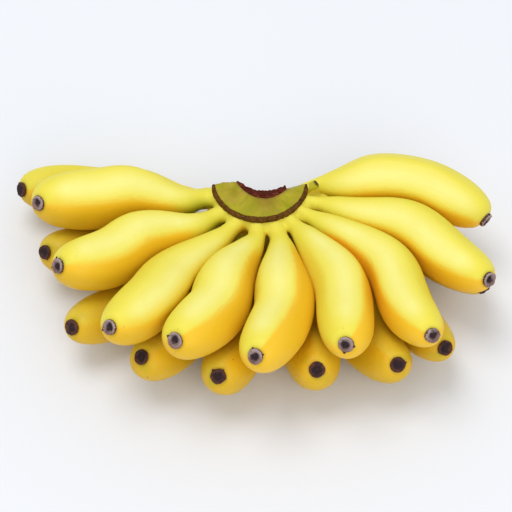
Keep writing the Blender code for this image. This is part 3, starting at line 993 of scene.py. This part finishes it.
def grown_together(parts, pitch):
    """One skin of even quads round all the parts, which may overlap."""
    mesh = bpy.data.meshes.new("parts")
    points, faces, start = [], [], 0
    for some_points, some_faces in parts:
        points.append(some_points)
        faces += [tuple(start + k for k in face) for face in some_faces]
        start += len(some_points)
    mesh.from_pydata((np.concatenate(points) * MM).tolist(), [], faces)
    holder = new_object("parts", mesh)
    skin = holder.modifiers.new("skin", "REMESH")
    skin.mode = "VOXEL"
    skin.voxel_size = pitch * MM
    graph = bpy.context.evaluated_depsgraph_get()
    made = bpy.data.meshes.new_from_object(holder.evaluated_get(graph))
    skinned = parts_of(made)
    bpy.data.objects.remove(holder)
    bpy.data.meshes.remove(made)
    return skinned


def arc_stations(radius, half, arc, steps):
    """Stations of a round bar along the scar's way, between two angles round the crown."""
    return [Station(round_the_crown(azimuth, radius, SCAR_Z), direction(azimuth, 0), UP,
                    half, half, k / (steps - 1))
            for k, azimuth in enumerate(np.linspace(*arc, steps))]


# The bead of crown under the scar: how much further in it lies, and its half width
BED_IN = 0.6
BED_HALF = 2.4
BED_ARC = (178, 357)
BED_STEPS = 60
DRAWING_ROUNDS = 4
STUB_FROM = 30.6  # radius where the stub is clear of the crown's wall
SKIRT_BLEND = 1.6
FAN_DEGREES = 9  # of the crown's round, for each step of the fibres' noise
FAN_DEPTH = 16
FACE_LUMPS = ((0.2, 4.5, 15),)
NECK_LUMPS = ((0.12, 3.5, 13),)
BACK_LUMPS = ((0.25, 1.2, 14),)
FLUTE_HEIGHT = 0.05
# Stains on the crown's face: their middle, their reach both ways and their strength
STAINS = ((5, -17, 7, 6, 1.0), (-18, -9, 4, 4, 0.5))


def crown_skin(pitch, gap):
    """The crown's points on its true surface, and its faces."""
    bed = arc_stations(SCAR_RADIUS - BED_IN, BED_HALF, BED_ARC, BED_STEPS)
    bars = [bar_parts(stations) for stations in [bed, *GROWN_BARS, STUB]]
    points, faces = grown_together([solid_parts("crown"), *bars], pitch)
    return drawn_to(gap, points, DRAWING_ROUNDS), faces


def build_crown(crown, peel, material):
    def gap(spots):
        return crown_gap(spots, crown.fillet / MM)

    points, faces = crown_skin(crown.pitch / MM, gap)
    normal = slope_of(gap, points)
    normal /= np.maximum(np.linalg.norm(normal, axis=1), 1e-6)[:, None]
    radius = np.hypot(points[:, 0], points[:, 1])
    azimuth = np.degrees(np.arctan2(points[:, 1], points[:, 0])) % 360
    gaps = np.array([stations_gap(points, stations) for stations in NECKS])
    nearest = gaps[:, 0].argmin(axis=0)
    share = gaps[nearest, 1, np.arange(len(points))]
    greens = np.array([finger.green for finger, _, _ in HAND])[nearest]
    shaded = np.array([upper_row_shade_share(finger) for finger, _, _ in HAND])[nearest]
    stub = ease((0.5 - stub_gap(points)) / 0.3) * grows(radius, STUB_FROM, 0.6)
    outside_scar = (radius - SCAR_RADIUS) - (points[:, 2] - SCAR_Z)
    skirt = ease(0.5 + outside_scar / SKIRT_BLEND) * (1 - stub)
    back = (grows(points[:, 1], CROWN_BACK - 1.0, 0.7) * grows(normal[:, 1], 0.3, 0.4)
            * grows(gaps[:, 0].min(axis=0), 0.3, 0.8) * (1 - stub))
    fan = np.stack([azimuth / FAN_DEGREES, np.zeros(len(points)),
                    (radius - points[:, 2]) / FAN_DEPTH], axis=1)
    flutes = lumps(fan * 4, 1.0, 11) + 0.6 * lumps(fan * 12, 1.0, 12)
    relief = ((1 - skirt) * (FLUTE_HEIGHT * flutes + layered(points, FACE_LUMPS))
              + skirt * layered(points, NECK_LUMPS) + back * layered(points, BACK_LUMPS))
    points = points + relief[:, None] * normal
    x, y, z = points.T
    beyond = (points - STUB_END) @ STUB_WAY + 0.5 * (z - STUB_END[2])
    values = {
        "fan": fan,
        "skirt": skirt,
        "back": back,
        "stub": stub,
        "torn": stub * grows(beyond, -0.9, 0.8),
        "rim": (peak(scoop_gap(points), SKIN_OVER_CUT, 1.3) * (1 - skirt)
                * (x < NOTCH_CORNER[0] + 3)),
        "stain": sum(strength * peak(x, at_x, reach_x) * peak(y, at_y, reach_y)
                     for at_x, at_y, reach_x, reach_y, strength in STAINS),
        # low, the shaded side's extra green and ochre are painted shade on the necks, as on the
        # fingers
        "low": painted_gold_shade(normal),
        "green": neck_green(greens, share, normal),
        "ochre": LOWER_ROW_PAINTED_SHADE * shaded * grows(share, 0.02, 0.12),
    }
    return new_piece("crown_skin", points, faces, material, "crown", values)


SCAR_OUT = 0.3
SCAR_FRONT = 0.25  # the scar's half width grows by this much at the front
SCAR_ARC = (183.2, 357)
SCAR_STEPS = 420
SCAR_SIDES = 28
SCAR_FLATNESS = 0.85
SCAR_NOISE = 1.7  # how far from the scar's middle its noise is read
SCAR_CORK = ((0.2, 1.4, 21), (0.14, 0.6, 22), (0.2, 5, 23))


def build_scar(scar, material):
    points = []
    angles = turns(SCAR_SIDES)
    for s in arc_stations(SCAR_RADIUS + SCAR_OUT, scar.half_width / MM, SCAR_ARC, SCAR_STEPS):
        taper = min(1.0, 0.6 + 12 * min(s.share, 1 - s.share))
        downhill, proud = unit(s.across - s.up), unit(s.across + s.up)
        spot = ring(s.point, downhill, proud, SCAR_NOISE, SCAR_NOISE, angles)
        front = SCAR_FRONT * peak(s.share, 0.62, 0.22)
        wide = (s.wide + front + layered(spot, SCAR_CORK)) * taper
        points.append(ring(s.point, downhill, proud, wide, SCAR_FLATNESS * wide, angles))
    return new_piece("scar_band", np.concatenate(points), closed_faces(SCAR_STEPS, SCAR_SIDES),
                     material, "bract_scar")


LAYER_PITCH = 3.1  # from one lip of the dried fibres to the next
CUT_DEPTH = 0.9  # behind the scoop's surface, where the fibres' relief has faded out
RAGGED_FROM = 50.5  # the height where the cut's upper edge starts to be ragged
RAGGED_HEIGHT = 0.9
CUT_WARP = ((1.6, 6, 31), (0.5, 1.8, 32))
CUT_STRANDS = ((0.35, 1.0, 35),)
CUT_CRUMBS = ((0.2, 0.9, 33),)


def build_cut(cut, material):
    points, faces = grown_together([solid_parts("dried_cut_face")], cut.pitch / MM)
    off = points - SCOOP_TOP
    deep = off @ SCOOP_AXIS
    inward = -(off - deep[:, None] * SCOOP_AXIS)
    inward /= np.linalg.norm(inward, axis=1)[:, None]
    angle = np.degrees(np.arctan2(off[:, 0], -off[:, 2]))
    flat = np.zeros(len(points))
    warped = deep + layered(points, CUT_WARP)
    strands = np.stack([warped, angle / 5, flat], axis=1)
    lips = (0.5 * np.sin(warped * 2 * pi / LAYER_PITCH) + layered(strands, CUT_STRANDS)
            + layered(points, CUT_CRUMBS))
    inner = ease((CUT_DEPTH - scoop_gap(points)) / 0.6)
    ragged = (grows(points[:, 2], RAGGED_FROM, 2)
              * np.clip(lumps(points * [1, 0.2, 0.2], 1.6, 34) + 0.3, 0, 1))
    points = points + (lips * inner)[:, None] * inward + (RAGGED_HEIGHT * ragged)[:, None] * UP
    return new_piece("cut_skin", points, faces, material, "dried_cut_face",
                     {"layers": np.stack([deep * 0.9, angle / 9, flat], axis=1)})


def measure(name, description, default, **kind):
    return FloatProperty(name=name, description=description, default=default, **kind)


def length(name, description, millimetres):
    return measure(name, description, millimetres * MM, unit="LENGTH")


def colour(name, description, default):
    return FloatVectorProperty(name=name, description=description, default=default,
                               subtype="COLOR", size=3, min=0, max=1)


class PeelSettings(bpy.types.PropertyGroup):
    """Shape and colours of the fingers' peel."""
    ridge_sharpness: measure("Ridge sharpness", "How sharp the five long ridges are", 9.0,
                             min=4, max=40)
    lumpiness: length("Lumpiness", "Height of the peel's slow swells", 0.12)
    freckles: measure("Freckles", "How strong the small brown freckles are", 0.35,
                      subtype="FACTOR", min=0, max=1)
    lemon: colour("Lemon", "Peel on the upper sides", (0.80, 0.70, 0.065))
    # Pale lemon: a painted highlight on the faces turned to the light
    pale: colour("Pale lemon", "Middle of the upper faces", (0.87, 0.82, 0.24))
    # Gold: painted shade on the sides turned from the light, and faint streaks
    gold_for_shade_and_streaks: colour("Gold", "Peel on the lower sides", (0.89, 0.53, 0.02))
    # Ochre: painted shade on the lower row and on undersides
    ochre: colour("Ochre", "Peel of the lower row", (0.64, 0.39, 0.004))
    green: colour("Green", "Peel of the necks", (0.40, 0.44, 0.02))
    mark: colour("Rub mark", "Faint rubbed marks", (0.50, 0.27, 0.03))
    freckle: colour("Freckle", "Freckles and scabs", (0.16, 0.07, 0.02))


class TipSettings(bpy.types.PropertyGroup):
    """Shape and colours of the dried flower ends."""
    crumble: length("Crumble", "How rough the dried ends are", 0.28)
    heart: colour("Heart", "Dark middle of a tip", (0.030, 0.016, 0.020))
    # The ring's two colours are painted light and painted shade
    lit_ring: colour("Ring", "Pale upper side of a tip's ring", (0.47, 0.35, 0.33))
    shaded_ring: colour("Dull ring", "Darker parts of a tip's ring", (0.16, 0.055, 0.03))
    edge: colour("Edge", "Outer edge of a tip", (0.075, 0.035, 0.025))


class CrownSettings(bpy.types.PropertyGroup):
    """Shape and colours of the crown."""
    pitch: length("Skin pitch", "Size of the crown's quads", 0.75)
    fillet: length("Fillet", "How far the necks flow into the crown and each other", 3.4)
    olive: colour("Olive", "Green of the crown's face", (0.29, 0.28, 0.004))
    streak: colour("Streak", "Yellow parts of the face", (0.46, 0.40, 0.018))
    tan: colour("Tan", "Dry patches of the face", (0.40, 0.28, 0.03))
    shade: colour("Shade", "Darker mottling", (0.21, 0.125, 0.006))
    rim: colour("Rim", "Brown along the cut", (0.17, 0.075, 0.035))
    scab: colour("Torn end", "Dried end of the torn stub", (0.09, 0.06, 0.012))
    dry: colour("Dry flesh", "Flesh dried on the knife's cut", (0.36, 0.27, 0.11))


class ScarSettings(bpy.types.PropertyGroup):
    """Shape and colours of the corky scar."""
    half_width: length("Half width", "Half the width of the scar's band", 1.75)
    brown: colour("Brown", "Cork", (0.145, 0.060, 0.008))
    dark: colour("Dark", "Hollows of the cork", (0.065, 0.026, 0.005))
    pale: colour("Pale", "Worn flakes", (0.21, 0.115, 0.04))


class CutSettings(bpy.types.PropertyGroup):
    """Shape and colours of the dried cut."""
    pitch: length("Skin pitch", "Size of the cut skin's quads", 0.42)
    dark: colour("Dark", "Hollows of the dried cut", (0.045, 0.010, 0.006))
    red: colour("Red brown", "Dried fibres", (0.13, 0.022, 0.011))
    pale: colour("Pale", "Lighter fibres", (0.27, 0.075, 0.045))


class StageSettings(bpy.types.PropertyGroup):
    """Floor, lights and camera."""
    floor: colour("Floor", "Colour of the floor", (0.80, 0.815, 0.85))
    sky: measure("Sky", "Strength of the light from all round", 0.73, min=0)
    key: measure("Key light", "Power of the light from behind and above", 23.0, unit="POWER")
    fill: measure("Fill light", "Power of the light from the front", 11.0, unit="POWER")
    elevation: measure("Camera height", "Angle above the horizon", radians(54), subtype="ANGLE")
    distance: length("Camera distance", "From the hand's middle", 1000)
    lens: measure("Lens", "Focal length in millimetres", 113.4)


class HandSettings(bpy.types.PropertyGroup):
    """All settings of the hand."""
    peel: PointerProperty(type=PeelSettings)
    tips: PointerProperty(type=TipSettings)
    crown: PointerProperty(type=CrownSettings)
    scar: PointerProperty(type=ScarSettings)
    cut: PointerProperty(type=CutSettings)
    stage: PointerProperty(type=StageSettings)


class HAND_OT_fingers(bpy.types.Operator):
    """Grows the eighteen fingers in their peel"""
    bl_idname = "banana_hand.fingers"
    bl_label = "Fingers"

    def execute(self, context):
        peel = context.scene.banana_hand.peel
        material = peel_finish(peel)
        for number, (finger, line, room) in enumerate(HAND):
            build_finger(number, finger, line, room, peel, material)
        return {"FINISHED"}


class HAND_OT_tips(bpy.types.Operator):
    """Grows the eighteen dried flower ends"""
    bl_idname = "banana_hand.tips"
    bl_label = "Dried tips"

    def execute(self, context):
        tips = context.scene.banana_hand.tips
        material = tip_finish(tips)
        for number, (finger, line, _) in enumerate(HAND):
            build_tip(number, finger, line, tips, material)
        return {"FINISHED"}


class HAND_OT_crown(bpy.types.Operator):
    """Grows the crown with the necks that flow into it"""
    bl_idname = "banana_hand.crown"
    bl_label = "Crown"

    def execute(self, context):
        hand = context.scene.banana_hand
        build_crown(hand.crown, hand.peel, crown_finish(hand.crown, hand.peel))
        return {"FINISHED"}


class HAND_OT_scar(bpy.types.Operator):
    """Lays the corky scar along the crown's upper edge"""
    bl_idname = "banana_hand.scar"
    bl_label = "Bract scar"

    def execute(self, context):
        scar = context.scene.banana_hand.scar
        build_scar(scar, scar_finish(scar))
        return {"FINISHED"}


class HAND_OT_cut(bpy.types.Operator):
    """Dries the skin of the knife's scooped cut"""
    bl_idname = "banana_hand.cut"
    bl_label = "Dried cut"

    def execute(self, context):
        cut = context.scene.banana_hand.cut
        build_cut(cut, cut_finish(cut))
        return {"FINISHED"}


TARGET = np.array([-2.5, -47, 36])
FLOOR_SIZE = 8.0
FLOOR_GRAIN = (0.76, 0.78, 0.82)
SKY_COLOUR = (0.93, 0.96, 1.0, 1.0)
# Lights: name, place, size and colour
LAMPS = (("key", (-0.5, 0.3, 2.4), 1.4, (1.0, 0.985, 0.95)),
         ("fill", (0.6, -1.6, 1.3), 1.6, (1.0, 0.99, 0.97)))


def towards(way):
    """How a lamp or camera is turned to look that way."""
    return way.to_track_quat("-Z", "Y").to_euler()


def area_light(name, place, target, size, power, colour):
    data = bpy.data.lights.new(name, "AREA")
    data.shape = "DISK"
    data.size = size
    data.energy = power
    data.color = colour
    light = new_object(name, data)
    light.location = place
    light.rotation_euler = towards(Vector(target) - Vector(place))


def build_floor(stage):
    finish = Finish("floor", {"Specular IOR Level": 0.1})
    grain = finish.noise(finish.position(), 3.0)
    colour = finish.coated(stage.floor, (FLOOR_GRAIN, grain, 0.3, 0.7, 0, 0.02))
    finish.feed(finish.shader.inputs["Base Color"], colour)
    finish.feed(finish.shader.inputs["Roughness"], finish.between(grain, 0.3, 0.7, 0.8, 0.85))
    half = FLOOR_SIZE / 2
    mesh = bpy.data.meshes.new("floor")
    mesh.from_pydata([(-half, -half, 0), (half, -half, 0), (half, half, 0), (-half, half, 0)],
                     [], [(0, 1, 2, 3)])
    mesh.materials.append(finish.material)
    floor = new_object("floor", mesh)


def build_camera(stage, middle):
    data = bpy.data.cameras.new("camera")
    data.lens = stage.lens
    data.sensor_width = 36.0
    data.clip_start = 0.01
    camera = new_object("camera", data)
    back = np.array([0, -cos(stage.elevation), sin(stage.elevation)])
    camera.location = middle + back * stage.distance
    camera.rotation_euler = towards(-Vector(back))
    return camera


class HAND_OT_stage(bpy.types.Operator):
    """Sets up the pale floor, the soft light and the camera"""
    bl_idname = "banana_hand.stage"
    bl_label = "Stage"

    def execute(self, context):
        stage = context.scene.banana_hand.stage
        scene = context.scene
        build_floor(stage)
        world = bpy.data.worlds.new("studio")
        world.use_nodes = True
        sky = world.node_tree.nodes["Background"]
        sky.inputs["Color"].default_value = SKY_COLOUR
        sky.inputs["Strength"].default_value = stage.sky
        scene.world = world
        middle = to_row(TARGET)
        for name, place, size, colour in LAMPS:
            area_light(name, place, middle, size, getattr(stage, name), colour)
        scene.camera = build_camera(stage, middle)
        scene.view_settings.view_transform = "Standard"
        return {"FINISHED"}


class HAND_PT_panel(bpy.types.Panel):
    """Lists the hand's parts in the sidebar."""
    bl_label = "Hand of Bananas"
    bl_idname = "HAND_PT_panel"
    bl_space_type = "VIEW_3D"
    bl_region_type = "UI"
    bl_category = "Bananas"

    def draw(self, context):
        hand = context.scene.banana_hand
        for operator, settings in STEPS:
            box = self.layout.box()
            box.operator(operator.bl_idname)
            if settings:
                group = getattr(hand, settings)
                for name in group.__annotations__:
                    box.prop(group, name)


STEPS = (
    (HAND_OT_stage, "stage"),
    (HAND_OT_fingers, "peel"),
    (HAND_OT_tips, "tips"),
    (HAND_OT_crown, "crown"),
    (HAND_OT_scar, "scar"),
    (HAND_OT_cut, "cut"),
)
CLASSES = (PeelSettings, TipSettings, CrownSettings, ScarSettings, CutSettings, StageSettings,
           HandSettings, *(operator for operator, _ in STEPS), HAND_PT_panel)


def register():
    for each in CLASSES:
        bpy.utils.register_class(each)
    bpy.types.Scene.banana_hand = PointerProperty(type=HandSettings)


def unregister():
    del bpy.types.Scene.banana_hand
    for each in reversed(CLASSES):
        bpy.utils.unregister_class(each)


def main():
    register()
    for operator, _ in STEPS:
        group, name = operator.bl_idname.split(".")
        getattr(getattr(bpy.ops, group), name)()


if __name__ == "__main__":
    main()
